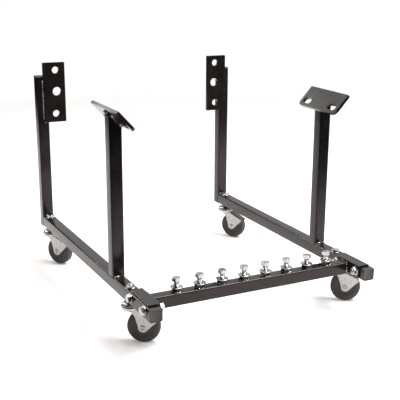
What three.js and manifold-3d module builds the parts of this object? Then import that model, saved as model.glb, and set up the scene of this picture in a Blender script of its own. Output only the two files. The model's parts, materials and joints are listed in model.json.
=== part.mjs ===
// Engine cradle on four swivel casters. Millimetres, +Z up, front (crossbar) towards -Y.
// Two welded side frames carry the engine: a pair of upright plates at the rear takes the
// bellhousing face of the block, and a pair of sloping plates on the front posts takes its
// side mounts. A crossbar bolts the side frames together and stores the mounting bolts.
//
// Inside this file the frame is laid out from the front end of the rails (y = 0), the
// underside of the rails (z = 0) and the middle of the crossbar (x = 0). The finished
// group is then moved so that its origin is under the middle of its bounding box, on the floor.

import * as THREE from 'three';
import { mergeVertices } from 'three/addons/utils/BufferGeometryUtils.js';
import Module from 'manifold-3d';

const wasm = await Module();
wasm.setup();

// ---------------------------------------------------------------- driving dimensions
const TUBE = 25.4;                 // outside of the square tube
const TUBE_WALL = 1.8;
const TUBE_CORNER = 2;             // outside corner radius of the tube
const FRAME_WIDTH = 498;           // over the outer faces of the rails
const RAIL_LENGTH = 641;           // front end of the rail to the face of the rear post
const REAR_POST_HEIGHT = 358;      // from the underside of the rail
const FRONT_POST_SETBACK = 180;    // front end of the rail to the front face of the front post

const PLATE_THICKNESS = 6.35;      // all four engine plates
const PLATE_WIDTH = 50.8;
const REAR_PLATE_HEIGHT = 137.5;
const REAR_PLATE_BOTTOM = 252;
const REAR_PLATE_INSET = 13.5;     // from the outer face of the rail
const REAR_PLATE_HOLES = [         // inset from the rail's outer face, height, diameter
  { inset: 42.5, height: 372, diameter: 16 },
  { inset: 44.5, height: 323, diameter: 20 },
  { inset: 41, height: 271.5, diameter: 16 },
];

const MOUNT_PLATE_LENGTH = 136;
const MOUNT_PLATE_SLOPE = THREE.MathUtils.degToRad(47);
const MOUNT_PLATE_INSET = 15;      // middle of the plate's upper face from the rail's outer face
const MOUNT_PLATE_HEIGHT = 343.5;  // middle of the plate's upper face
const MOUNT_PLATE_ROUND = 11;      // inboard corners
const MOUNT_SLOT_LENGTH = 28;
const MOUNT_SLOT_WIDTH = 14;
const MOUNT_SLOT_PITCH = 91;
const MOUNT_SLOT_EDGE = 14;        // slot centre line from the lower edge

const CROSSBAR_SETBACK = 55;       // front end of the rail to the crossbar's front face
const CROSSBAR_DROP = 2;           // crossbar's underside below the rail's
const ANGLE_LEG = 25.4;            // angle iron of the corner brackets
const ANGLE_THICKNESS = 3.2;
const BRACKET_FRONT = 15;
const BRACKET_REAR = 100;
const CLAMP_BOLT_SETBACKS = { front: 25, rear: 90 };
const CLAMP_BOLT_HEIGHT = 15.9;

const CLAMP = {                    // 3/8 inch flanged hardware through rail and bracket
  diameter: 9.5, flats: 14.3, head: 6.5, nutHeight: 8.5, hole: 10.1,
};
const FLANGE_DIAMETER = 19;
const FLANGE_THICKNESS = 1.6;
const BOLT_REACH = 2;              // clamp bolt showing past its nut

const STORED = {                   // 7/16 inch hardware kept on the crossbar
  diameter: 11.1, flats: 15.9, head: 7, length: 25.4, hole: 11.7,
};
const STORED_EXPOSED = 11;         // shank showing between the washer and the head
const WELD_NUT_FLATS = 17.5;
const WELD_NUT_HEIGHT = 8.5;
const WASHER_DIAMETER = 25;
const WASHER_THICKNESS = 1.6;
const STORED_BOLTS = 8;
const STORED_BOLT_PITCH = 48.6;
const STORED_BOLT_SHIFT = 5;       // middle of the row from the middle of the crossbar

const PLUG_RIM = 3;                // plastic end plugs
const PLUG_DEPTH = 12;

const CASTER_HEIGHT = 84;          // floor to the underside of the rail
const FRONT_STEM_SETBACK = 120;    // front end of the rail to the stem
const REAR_STEM_SETBACK = 622;
const FRONT_CASTER_HEADING = THREE.MathUtils.degToRad(-35);
const REAR_CASTER_HEADING = THREE.MathUtils.degToRad(-58);
const CASTER_TRAIL = 25;           // stem axis to axle
const STEM_DIAMETER = 11.1;
const STEM_HOLE = 11.9;
const STEM_TOP = 32;
const STEM_FLATS = 15.9;
const STEM_NUT_HEIGHT = 5.5;       // with its washer
const STEM_WASHER_DIAMETER = 21;
const STEM_WASHER_THICKNESS = 1.5;
const KINGPIN_DIAMETER = 10;
const KINGPIN_HEAD_DIAMETER = 14;
const KINGPIN_HEAD = 2.5;
const RACE_TOP = -4.5;             // hex collar above, upper ball race below
const RACE_SPLIT = -10;            // upper race ends here, lower race begins
const CROWN_TOP = -15.5;
const CROWN_THICKNESS = 2;
const UPPER_RACE_RADIUS = 18.5;
const LOWER_RACE_RADIUS = 20;
const WHEEL_RADIUS = 32.5;
const WHEEL_WIDTH = 19;
const WHEEL_BORE = 8.6;
const AXLE_DIAMETER = 8;
const AXLE_HEAD = 1.4;
const AXLE_HEAD_DIAMETER = 11;
const LEG_THICKNESS = 2;
const LEG_GAP = 21.6;              // between the inner faces of the fork legs
const LEG_BOSS = 9.5;              // radius of the leg round the axle
const LEG_FRONT = -9;              // leading edge of the leg where it leaves the crown
const LEG_NECK = 11;               // leading edge below the crown's sweep
const LEG_SWEEP = 18;              // height of the sweep
const LEG_TAIL = { out: 30, up: 17 };   // rear corner of the leg from the axle
const HUB_RADIUS = 8.5;
const DISH = 0.8;                  // depth of the recess in the wheel's sides
const HUB_RISE = 0.7;              // hub beyond the sides of the tyre
const AXLE_HEIGHT = WHEEL_RADIUS - CASTER_HEIGHT;

const GAP = 0.3;                   // kept where a cut face meets its neighbour
const CUT = 200;                   // size of the cutting blocks

// ---------------------------------------------------------------- materials
const paint = () => new THREE.MeshStandardMaterial({ color: 0x1d1c1d, roughness: 0.32, metalness: 0.25 });
const plastic = () => new THREE.MeshStandardMaterial({ color: 0x2b2a29, roughness: 0.55, metalness: 0 });
const chrome = () => new THREE.MeshStandardMaterial({ color: 0xd2d4d6, roughness: 0.18, metalness: 1 });
const zinc = () => new THREE.MeshStandardMaterial({ color: 0xb5b2ad, roughness: 0.4, metalness: 1 });
const rubber = () => new THREE.MeshStandardMaterial({ color: 0x262525, roughness: 0.75, metalness: 0 });

// ---------------------------------------------------------------- solids
function toManifold(geometry) {
  const bare = geometry.clone();
  bare.deleteAttribute('normal');
  bare.deleteAttribute('uv');
  const merged = mergeVertices(bare);
  return new wasm.Manifold(new wasm.Mesh({
    numProp: 3,
    vertProperties: new Float32Array(merged.attributes.position.array),
    triVerts: new Uint32Array(merged.index.array),
  }));
}

function fromManifold(solid) {
  const mesh = solid.getMesh();
  const geometry = new THREE.BufferGeometry();
  geometry.setAttribute('position', new THREE.BufferAttribute(mesh.vertProperties, 3));
  geometry.setIndex(new THREE.BufferAttribute(mesh.triVerts, 1));
  geometry.computeVertexNormals();
  return geometry;
}

function combine(operation, first, others) {
  let solid = toManifold(first);
  for (const other of others) solid = solid[operation](toManifold(other));
  return fromManifold(solid);
}

const join = (first, ...others) => combine('add', first, others);
const cut = (first, ...others) => combine('subtract', first, others);

// ---------------------------------------------------------------- basic shapes
// A square or oblong outline with rounded corners, centred on the origin.
function roundedRectangle(width, height, radius, Outline = THREE.Shape) {
  const x = width / 2;
  const y = height / 2;
  const outline = new Outline();
  outline.moveTo(-x + radius, -y);
  outline.lineTo(x - radius, -y);
  outline.absarc(x - radius, -y + radius, radius, -Math.PI / 2, 0);
  outline.lineTo(x, y - radius);
  outline.absarc(x - radius, y - radius, radius, 0, Math.PI / 2);
  outline.lineTo(-x + radius, y);
  outline.absarc(-x + radius, y - radius, radius, Math.PI / 2, Math.PI);
  outline.lineTo(-x, -y + radius);
  outline.absarc(-x + radius, -y + radius, radius, Math.PI, Math.PI * 1.5);
  return outline;
}

function extrude(outline, depth, curveSegments = 6) {
  return new THREE.ExtrudeGeometry(outline, { depth, bevelEnabled: false, curveSegments });
}

// Hollow square tube standing on z = 0.
function squareTube(length) {
  const outline = roundedRectangle(TUBE, TUBE, TUBE_CORNER);
  const inner = TUBE - 2 * TUBE_WALL;
  outline.holes.push(roundedRectangle(inner, inner, TUBE_CORNER / 2, THREE.Path));
  return extrude(outline, length, 3);
}

// Upright solids standing on z = 0.
function rod(diameter, height, segments = 16) {
  const geometry = new THREE.CylinderGeometry(diameter / 2, diameter / 2, height, segments);
  return geometry.rotateX(Math.PI / 2).translate(0, 0, height / 2);
}

function hexagon(flats, height) {
  return rod(flats / Math.cos(Math.PI / 6), height, 6);
}

// A solid turned about Z from [radius, z] points, listed from the top down.
function turned(points, segments = 24) {
  const profile = points.map(([radius, z]) => new THREE.Vector2(radius, z)).reverse();
  return new THREE.LatheGeometry(profile, segments).rotateX(Math.PI / 2);
}

function block(width, depth, height) {
  return new THREE.BoxGeometry(width, depth, height);
}

// ---------------------------------------------------------------- scene helpers
const frame = new THREE.Group();

function place(parent, name, geometry, material, position = [0, 0, 0]) {
  const mesh = new THREE.Mesh(geometry, material);
  mesh.name = name;
  mesh.position.set(...position);
  parent.add(mesh);
  return mesh;
}

// side is -1 on the left and +1 on the right; inset is measured inboard from the outer face.
const SIDES = { left: -1, right: 1 };
const inboard = (side, inset) => side * (FRAME_WIDTH / 2 - inset);
const RAIL_INSET = TUBE / 2;

// ---------------------------------------------------------------- side frames
// The rail runs from behind its end plug to the rear post, drilled for stems and clamp bolts.
function railGeometry() {
  const tube = squareTube(RAIL_LENGTH - PLUG_RIM)
    .rotateX(-Math.PI / 2)
    .translate(0, PLUG_RIM, TUBE / 2);
  const stemHoles = [FRONT_STEM_SETBACK, REAR_STEM_SETBACK]
    .map((y) => rod(STEM_HOLE, CUT).translate(0, y, -CUT / 2));
  const boltHoles = Object.values(CLAMP_BOLT_SETBACKS)
    .map((y) => rod(CLAMP.hole, CUT).rotateY(Math.PI / 2).translate(-CUT / 2, y, CLAMP_BOLT_HEIGHT));
  return cut(tube, ...stemHoles, ...boltHoles);
}

// The front post stands on the rail, and its top is cut to the slope of the mount plate.
function frontPostGeometry(side) {
  const plateX = -side * (MOUNT_PLATE_INSET - RAIL_INSET);
  const tube = squareTube(MOUNT_PLATE_HEIGHT - TUBE);
  const slopingCut = block(CUT, CUT, CUT)
    .translate(0, 0, CUT / 2 - PLATE_THICKNESS - GAP)
    .rotateY(-side * MOUNT_PLATE_SLOPE)
    .translate(plateX, 0, MOUNT_PLATE_HEIGHT - TUBE);
  return cut(tube, slopingCut);
}

// Rim and shank of a square plastic plug, with its rim towards +Z and its seat on z = 0.
function plugGeometry() {
  const shank = TUBE - 2 * TUBE_WALL - 2 * GAP;
  return join(
    extrude(roundedRectangle(TUBE, TUBE, TUBE_CORNER), PLUG_RIM, 3),
    extrude(roundedRectangle(shank, shank, TUBE_CORNER / 2), PLUG_DEPTH + 1, 3).translate(0, 0, -PLUG_DEPTH),
  );
}

// Upright plate against the front face of the rear post, standing on its own lower edge.
function rearPlateGeometry(side) {
  const outline = new THREE.Shape();
  outline.moveTo(-PLATE_WIDTH / 2, -REAR_PLATE_HEIGHT / 2);
  outline.lineTo(PLATE_WIDTH / 2, -REAR_PLATE_HEIGHT / 2);
  outline.lineTo(PLATE_WIDTH / 2, REAR_PLATE_HEIGHT / 2);
  outline.lineTo(-PLATE_WIDTH / 2, REAR_PLATE_HEIGHT / 2);
  const centreInset = REAR_PLATE_INSET + PLATE_WIDTH / 2;
  for (const { inset, height, diameter } of REAR_PLATE_HOLES) {
    const hole = new THREE.Path();
    const x = -side * (inset - centreInset);
    const y = height - REAR_PLATE_BOTTOM - REAR_PLATE_HEIGHT / 2;
    hole.absarc(x, y, diameter / 2, 0, Math.PI * 2);
    outline.holes.push(hole);
  }
  return extrude(outline, PLATE_THICKNESS, 10).rotateX(Math.PI / 2);
}

// A slot along Y, as a hole in the mount plate's outline.
function slotPath(x, y) {
  const slot = new THREE.Path();
  const radius = MOUNT_SLOT_WIDTH / 2;
  const reach = MOUNT_SLOT_LENGTH / 2 - radius;
  slot.moveTo(x + radius, y - reach);
  slot.lineTo(x + radius, y + reach);
  slot.absarc(x, y + reach, radius, 0, Math.PI);
  slot.lineTo(x - radius, y - reach);
  slot.absarc(x, y - reach, radius, Math.PI, Math.PI * 2);
  return slot;
}

// Flat in XY with its upper face on z = 0; the lower edge, towards -side, has round corners.
function mountPlateGeometry(side) {
  const lower = -side * PLATE_WIDTH / 2;
  const upper = -lower;
  const round = side * MOUNT_PLATE_ROUND;
  const end = MOUNT_PLATE_LENGTH / 2;
  const outline = new THREE.Shape();
  outline.moveTo(upper, -end);
  outline.lineTo(upper, end);
  outline.lineTo(lower + round, end);
  outline.quadraticCurveTo(lower, end, lower, end - MOUNT_PLATE_ROUND);
  outline.lineTo(lower, -end + MOUNT_PLATE_ROUND);
  outline.quadraticCurveTo(lower, -end, lower + round, -end);
  for (const along of [-1, 1]) {
    outline.holes.push(slotPath(lower + side * MOUNT_SLOT_EDGE, along * MOUNT_SLOT_PITCH / 2));
  }
  return extrude(outline, PLATE_THICKNESS, 6).translate(0, 0, -PLATE_THICKNESS);
}

function addSideFrame(name, side) {
  const x = inboard(side, RAIL_INSET);
  const frontPostY = FRONT_POST_SETBACK + TUBE / 2;
  const rearPostY = RAIL_LENGTH + TUBE / 2;
  const rearPlateX = inboard(side, REAR_PLATE_INSET + PLATE_WIDTH / 2);
  const rearPlateZ = REAR_PLATE_BOTTOM + REAR_PLATE_HEIGHT / 2;

  place(frame, `rail_${name}`, railGeometry(), paint(), [x, 0, 0]);
  place(frame, `rear_post_${name}`, squareTube(REAR_POST_HEIGHT - 2 * PLUG_RIM), paint(),
    [x, rearPostY, PLUG_RIM]);
  place(frame, `front_post_${name}`, frontPostGeometry(side), paint(), [x, frontPostY, TUBE]);
  place(frame, `rear_plate_${name}`, rearPlateGeometry(side), paint(), [rearPlateX, RAIL_LENGTH, rearPlateZ]);

  const plate = place(frame, `mount_plate_${name}`, mountPlateGeometry(side), paint(),
    [inboard(side, MOUNT_PLATE_INSET), frontPostY, MOUNT_PLATE_HEIGHT]);
  plate.rotation.y = -side * MOUNT_PLATE_SLOPE;

  const endPlug = plugGeometry().rotateX(Math.PI / 2);
  place(frame, `rail_plug_${name}`, endPlug, plastic(), [x, PLUG_RIM, TUBE / 2]);
  place(frame, `post_cap_${name}`, plugGeometry(), plastic(), [x, rearPostY, REAR_POST_HEIGHT - PLUG_RIM]);
  const footPlug = plugGeometry().rotateX(Math.PI);
  place(frame, `post_foot_${name}`, footPlug, plastic(), [x, rearPostY, PLUG_RIM]);
}

// ---------------------------------------------------------------- fasteners
// Long cutter on the Z axis.
function drill(diameter, segments = 12) {
  return rod(diameter, CUT, segments).translate(0, 0, -CUT / 2);
}

// Hex bolt pointing down, with the underside of its head on z = 0.
function storedBoltGeometry() {
  return join(
    hexagon(STORED.flats, STORED.head),
    rod(STORED.diameter, STORED.length + 1, 12).translate(0, 0, -STORED.length),
  );
}

function washerGeometry() {
  return cut(rod(WASHER_DIAMETER, WASHER_THICKNESS, 20), drill(STORED.hole + 2 * GAP));
}

function clampBoltGeometry(length) {
  return join(
    rod(FLANGE_DIAMETER, FLANGE_THICKNESS),
    hexagon(CLAMP.flats, FLANGE_THICKNESS + CLAMP.head),
    rod(CLAMP.diameter, length + 1, 12).translate(0, 0, -length),
  );
}

function clampNutGeometry() {
  return cut(
    join(rod(FLANGE_DIAMETER, FLANGE_THICKNESS), hexagon(CLAMP.flats, CLAMP.nutHeight)),
    drill(CLAMP.hole),
  );
}

// ---------------------------------------------------------------- crossbar
const CROSSBAR_Y = CROSSBAR_SETBACK + TUBE / 2;
const CROSSBAR_TOP = TUBE - CROSSBAR_DROP;
const storedBoltX = (index) => STORED_BOLT_SHIFT + (index - (STORED_BOLTS - 1) / 2) * STORED_BOLT_PITCH;

// The tube and the weld nuts on its top face are one welded piece.
function crossbarGeometry() {
  const length = FRAME_WIDTH - 2 * (TUBE + ANGLE_THICKNESS);
  const tube = squareTube(length).rotateY(Math.PI / 2).translate(-length / 2, 0, TUBE / 2 - CROSSBAR_DROP);
  const embedded = TUBE_WALL / 2;
  const nuts = [];
  const holes = [];
  for (let index = 0; index < STORED_BOLTS; index += 1) {
    const x = storedBoltX(index);
    nuts.push(hexagon(WELD_NUT_FLATS, WELD_NUT_HEIGHT + embedded).translate(x, 0, CROSSBAR_TOP - embedded));
    holes.push(rod(STORED.hole, CUT, 12).translate(x, 0, CROSSBAR_TOP - TUBE / 2));
  }
  return cut(join(tube, ...nuts), ...holes);
}

// Angle iron hugging the rail: one leg on its top, one down its inner face.
function bracketGeometry(side) {
  const corner = -side * (TUBE / 2 + ANGLE_THICKNESS);
  const top = TUBE + ANGLE_THICKNESS;
  const toEdge = side * ANGLE_LEG;
  const toThickness = side * ANGLE_THICKNESS;
  const outline = new THREE.Shape();
  outline.moveTo(corner, top);
  outline.lineTo(corner + toEdge, top);
  outline.lineTo(corner + toEdge, TUBE);
  outline.lineTo(corner + toThickness, TUBE);
  outline.lineTo(corner + toThickness, top - ANGLE_LEG);
  outline.lineTo(corner, top - ANGLE_LEG);
  const angle = extrude(outline, BRACKET_REAR - BRACKET_FRONT)
    .rotateX(Math.PI / 2)
    .translate(0, BRACKET_REAR, 0);
  const holes = Object.values(CLAMP_BOLT_SETBACKS)
    .map((y) => rod(CLAMP.hole, CUT).rotateY(Math.PI / 2).translate(-CUT / 2, y, CLAMP_BOLT_HEIGHT));
  return cut(angle, ...holes);
}

function addCrossbar() {
  place(frame, 'crossbar', crossbarGeometry(), paint(), [0, CROSSBAR_Y, 0]);
  const washerZ = CROSSBAR_TOP + WELD_NUT_HEIGHT;
  for (let index = 0; index < STORED_BOLTS; index += 1) {
    const x = storedBoltX(index);
    const number = index + 1;
    const bolt = place(frame, `stored_bolt_${number}`, storedBoltGeometry(), chrome(),
      [x, CROSSBAR_Y, washerZ + WASHER_THICKNESS + STORED_EXPOSED]);
    bolt.rotation.z = number;      // each bolt was left at its own angle
    place(frame, `stored_washer_${number}`, washerGeometry(), chrome(), [x, CROSSBAR_Y, washerZ]);
  }
}

function addBracket(name, side) {
  place(frame, `bracket_${name}`, bracketGeometry(side), paint(), [inboard(side, RAIL_INSET), 0, 0]);
  const grip = TUBE + ANGLE_THICKNESS;
  const turn = side * Math.PI / 2;  // +Z of the fastener turned to face outboard
  const boltLength = grip + CLAMP.nutHeight + BOLT_REACH;
  for (const [end, y] of Object.entries(CLAMP_BOLT_SETBACKS)) {
    const bolt = place(frame, `clamp_bolt_${end}_${name}`, clampBoltGeometry(boltLength), chrome(),
      [inboard(side, 0), y, CLAMP_BOLT_HEIGHT]);
    bolt.rotation.y = turn;
    const nut = place(frame, `clamp_nut_${end}_${name}`, clampNutGeometry(), chrome(),
      [inboard(side, grip), y, CLAMP_BOLT_HEIGHT]);
    nut.rotation.y = -turn;
  }
}

// ---------------------------------------------------------------- casters
// Threaded stem, hex collar, upper ball race and kingpin, one piece fixed to the rail.
function stemGeometry() {
  const upperRace = turned([         // domed top, short upright skirt
    [0, RACE_TOP + 1],
    [UPPER_RACE_RADIUS - 5.5, RACE_TOP + 1],
    [UPPER_RACE_RADIUS - 3, RACE_TOP - 0.3],
    [UPPER_RACE_RADIUS - 0.9, RACE_TOP - 1.9],
    [UPPER_RACE_RADIUS, RACE_TOP - 3.8],
    [UPPER_RACE_RADIUS, RACE_SPLIT],
    [0, RACE_SPLIT],
  ]);
  const underCrown = CROWN_TOP - CROWN_THICKNESS - GAP;
  return join(
    rod(STEM_DIAMETER, STEM_TOP - RACE_TOP).translate(0, 0, RACE_TOP),
    hexagon(STEM_FLATS, -RACE_TOP - GAP).translate(0, 0, RACE_TOP),
    upperRace,
    rod(KINGPIN_DIAMETER, RACE_TOP - underCrown).translate(0, 0, underCrown),
    rod(KINGPIN_HEAD_DIAMETER, KINGPIN_HEAD).translate(0, 0, underCrown - KINGPIN_HEAD),
  );
}

// Nut with its washer.
function stemNutGeometry() {
  return cut(
    join(rod(STEM_WASHER_DIAMETER, STEM_WASHER_THICKNESS), hexagon(STEM_FLATS, STEM_NUT_HEIGHT)),
    drill(STEM_DIAMETER + 2 * GAP, 16),
  );
}

// Side of a fork leg in the plane of the wheel: x towards the trailing side, y up.
function legOutline() {
  const crown = CROWN_TOP - CROWN_THICKNESS / 2;
  const outline = new THREE.Shape();
  outline.moveTo(LEG_FRONT, crown);
  outline.bezierCurveTo(
    LEG_FRONT + LEG_NECK, crown - LEG_SWEEP / 6,
    LEG_NECK - 2, crown - LEG_SWEEP / 2,
    LEG_NECK, crown - LEG_SWEEP,
  );
  outline.lineTo(CASTER_TRAIL - LEG_BOSS, AXLE_HEIGHT + 2);
  outline.absarc(CASTER_TRAIL, AXLE_HEIGHT, LEG_BOSS, Math.PI - 0.2, Math.PI * 1.75, false);
  const tailX = CASTER_TRAIL + LEG_TAIL.out;
  const tailY = AXLE_HEIGHT + LEG_TAIL.up;
  outline.lineTo(tailX - 2.4, tailY - 3);
  outline.quadraticCurveTo(tailX, tailY, tailX - 3.5, tailY + 2);
  outline.lineTo(LOWER_RACE_RADIUS - 2, crown);
  return outline;
}

// Stamped fork: lower ball race, crown and two legs, with the riveted axle through the legs.
// Local axes: X is the trailing direction, Y the axle, Z up.
function forkGeometry() {
  const crownBottom = CROWN_TOP - CROWN_THICKNESS;
  const lowerRace = turned([
    [0, RACE_SPLIT - GAP],
    [LOWER_RACE_RADIUS - 0.8, RACE_SPLIT - GAP],
    [LOWER_RACE_RADIUS, RACE_SPLIT - 1.1],
    [LOWER_RACE_RADIUS, CROWN_TOP + 1.8],
    [LOWER_RACE_RADIUS - 1.4, CROWN_TOP],
    [LOWER_RACE_RADIUS - 2, crownBottom],
    [0, crownBottom],
  ]);
  const legs = [-1, 1].map((hand) => extrude(legOutline(), LEG_THICKNESS, 6)
    .rotateX(Math.PI / 2)
    .translate(0, hand * (LEG_GAP + LEG_THICKNESS) / 2 + LEG_THICKNESS / 2, 0));
  const width = LEG_GAP + 2 * LEG_THICKNESS;
  const onAxle = (geometry, from) => geometry
    .rotateX(-Math.PI / 2)
    .translate(CASTER_TRAIL, from, AXLE_HEIGHT);
  const axle = onAxle(rod(AXLE_DIAMETER, width), -width / 2);
  const bite = LEG_THICKNESS / 2;
  const heads = [-width / 2 - AXLE_HEAD, width / 2 - bite]
    .map((from) => onAxle(rod(AXLE_HEAD_DIAMETER, AXLE_HEAD + bite), from));
  return cut(join(lowerRace, ...legs, axle, ...heads), drill(KINGPIN_DIAMETER + 2 * GAP, 16));
}

// Solid wheel turned about Y: round tread, shallow recess in each side, raised hub.
function wheelGeometry() {
  const half = WHEEL_WIDTH / 2;
  const bore = WHEEL_BORE / 2;
  const side = [
    [bore, half + HUB_RISE],
    [HUB_RADIUS, half + HUB_RISE],
    [HUB_RADIUS + 1, half - DISH],
    [WHEEL_RADIUS - 9.5, half - DISH],
    [WHEEL_RADIUS - 7.5, half],
    [WHEEL_RADIUS - 3, half - 0.5],
    [WHEEL_RADIUS, half - 4.2],
  ];
  const otherSide = side.map(([radius, y]) => [radius, -y]).reverse();
  const profile = [...side, ...otherSide, side[0]].reverse();
  return new THREE.LatheGeometry(profile.map(([radius, y]) => new THREE.Vector2(radius, y)), 32);
}

function addCaster(name, x, y, heading) {
  const caster = new THREE.Group();
  caster.position.set(x, y, 0);
  frame.add(caster);
  place(caster, `caster_stem_${name}`, stemGeometry(), chrome());
  place(caster, `stem_nut_${name}`, stemNutGeometry(), chrome(), [0, 0, TUBE]);

  const swivel = new THREE.Group();
  swivel.rotation.z = heading;
  caster.add(swivel);
  place(swivel, `caster_fork_${name}`, forkGeometry(), zinc());
  place(swivel, `caster_wheel_${name}`, wheelGeometry(), rubber(), [CASTER_TRAIL, 0, AXLE_HEIGHT]);
}

// ---------------------------------------------------------------- assembly
addCrossbar();
for (const [name, side] of Object.entries(SIDES)) {
  addSideFrame(name, side);
  addBracket(name, side);
  const x = inboard(side, RAIL_INSET);
  addCaster(`front_${name}`, x, FRONT_STEM_SETBACK, FRONT_CASTER_HEADING);
  addCaster(`rear_${name}`, x, REAR_STEM_SETBACK, REAR_CASTER_HEADING);
}

// The origin goes under the middle of the whole cradle, on the floor.
const cradle = new THREE.Group();
cradle.add(frame);
frame.updateMatrixWorld(true);
const bounds = new THREE.Box3().setFromObject(frame, true);
const middle = bounds.getCenter(new THREE.Vector3());
frame.position.set(-middle.x, -middle.y, -bounds.min.z);

export default cradle;
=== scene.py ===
# Looks of the engine cradle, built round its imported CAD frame.
# Meshes are drawn in millimetres and put in place in metres; +Z is up and -Y is the front.

import json
import math
import random

import bmesh
import bpy
from mathutils import Matrix, Vector, noise


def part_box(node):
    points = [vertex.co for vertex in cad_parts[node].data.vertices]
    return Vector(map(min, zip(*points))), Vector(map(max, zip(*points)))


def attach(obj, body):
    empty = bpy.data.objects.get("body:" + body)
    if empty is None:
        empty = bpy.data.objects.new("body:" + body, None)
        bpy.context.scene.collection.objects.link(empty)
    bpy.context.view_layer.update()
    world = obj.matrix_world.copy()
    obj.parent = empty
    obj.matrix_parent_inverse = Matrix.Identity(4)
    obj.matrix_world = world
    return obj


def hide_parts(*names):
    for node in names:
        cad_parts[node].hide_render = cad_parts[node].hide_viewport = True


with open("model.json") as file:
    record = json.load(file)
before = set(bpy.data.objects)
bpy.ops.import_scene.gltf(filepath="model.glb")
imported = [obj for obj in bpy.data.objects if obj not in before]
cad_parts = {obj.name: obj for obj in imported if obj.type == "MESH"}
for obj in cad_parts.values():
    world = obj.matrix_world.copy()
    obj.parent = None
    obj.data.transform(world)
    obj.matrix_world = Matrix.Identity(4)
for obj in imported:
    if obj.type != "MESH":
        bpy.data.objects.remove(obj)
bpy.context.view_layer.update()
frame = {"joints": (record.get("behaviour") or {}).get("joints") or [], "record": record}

MM = 0.001
TO_METRES = Matrix.Scale(MM, 4)

# ---------------------------------------------------------------- sizes in millimetres
TUBE = 25.4
TUBE_WALL = 1.8
TUBE_CORNER = 2.8
PLATE_THICKNESS = 6.35
PLATE_WIDTH = 50.8
MOUNT_PLATE_LENGTH = 136
MOUNT_PLATE_ROUND = 11
MOUNT_SLOT_LENGTH = 28
MOUNT_SLOT_WIDTH = 14
MOUNT_SLOT_PITCH = 91
MOUNT_SLOT_EDGE = 14
REAR_HOLES = {"top": 16, "middle": 20, "bottom": 16}
ANGLE_THICKNESS = 3.2
CLAMP = {"radius": 4.75, "flats": 14.3, "head": 6.5, "pitch": 1.6}
CLAMP_NUT_HEIGHT = 8.5
STORED = {"radius": 5.55, "flats": 15.9, "head": 7.0, "pitch": 1.8}
WELD_NUT_FLATS = 17.5
WASHER_RADIUS = 12.5
FLANGE_RADIUS = 9.5
FLANGE_THICKNESS = 1.6
FLANGE_HOLE = 5.2                   # radius
BOLT_NUMBERS = range(1, 9)          # the eight stored bolts, each in its weld nut
PLUG_RIM = 3
PLUG_CORNER = 3.2
PLUG_SHANK = 12                     # its length
PLUG_SHANK_PLAY = 0.6
PLUG_LAND = 2.4                     # flat border round the dish in a plug's face
PLUG_DISH = 0.7
PLATE_CORNER = 1.2
ANGLE_FILLET = 2.2
STEM_RADIUS = 5.55
STEM_FLATS = 15.9
STEM_NUT_HEIGHT = 5.5
STEM_WASHER_THICKNESS = 1.5
STEM_WASHER_RADIUS = 10.5
STEM_PITCH = 1.8
STEM_THREAD_START = 20              # heights in a caster are measured from the rail's underside
STEM_TIP = 0.8                      # length of the plain, tapered end
STEM_COLLAR_HEIGHT = 4.2
STEM_COLLAR_BOTTOM = -4.5
WHEEL_RADIUS = 32.5
WHEEL_WIDTH = 19
LEG_THICKNESS = 2
LEG_GAP = 21.6
LEG_TOP = -16.5                     # inside the crown plate
LEG_BOSS = 9.5
FORK_WIDTH = LEG_GAP + 2 * LEG_THICKNESS
CROWN_BOTTOM = -17.5
CROWN_THICKNESS = 2
CROWN_LENGTH = 29
CROWN_CENTRE = 4                    # towards the trailing side
KINGPIN_HOLE = 5.4                  # radius
AXLE_RADIUS = 4
CASTER_TRAIL = 25
EDGE_BEVEL = 0.5
POST_GAP = 0.1                      # between a front post's sloping end and its plate
BEAD_RIPPLE = 2.2
BEAD_STEP = 0.5
BEAD_SIDES = 10
BEAD_RADIUS = {"foot": 3.2, "mount": 2.4, "mount_end": 2.2, "plate": 2.6, "plate_low": 1.9,
               "rail_end": 2.2, "nut": 1.6, "crossbar": 1.9}
CLAMP_TURN = {"front": 0.5, "rear": 0.2}    # turn of the clamp bolts' heads, in radians
STEM_NUT_TURN = 0.35
SIDES = {"left": -1, "right": 1}

# ---------------------------------------------------------------- camera, lights, floor
CAMERA_POSITION = (-0.8225, -1.6474, 0.7177)
CAMERA_YAW = math.radians(-29.35)
CAMERA_DOWN = math.radians(16.61)
CAMERA_ROLL = math.radians(1.14)
CAMERA_LENS = 77.74
CAMERA_SHIFT = (-0.1007, 0.0316)
SENSOR_WIDTH = 36
FLOOR_SIZE = 12.0
FLOOR_DROP = 0.0005                 # the floor lies this far under the wheels
FLOOR_WHITE = 0.86
FLOOR_GLOW = 0.18
FLOOR_MIDDLE = (0.2, 0.8, 0)     # the lit floor fades into the white surroundings round this point
FLOOR_FADE = (1.4, 2.0)
SEEN_WHITE = 1.02                # surroundings as the camera sees them
SHED_LIGHT = (0.12, 0.8)         # surroundings as they light the object, from the front and from the back
SHED_LEFT = 0.12                 # share of it that comes from the left
SHED_LOW = 0.1                   # share of it under the horizon and just above
DARK_GAP = (0.13, 0.2)           # heights between which the dark band over the horizon ends
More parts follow.
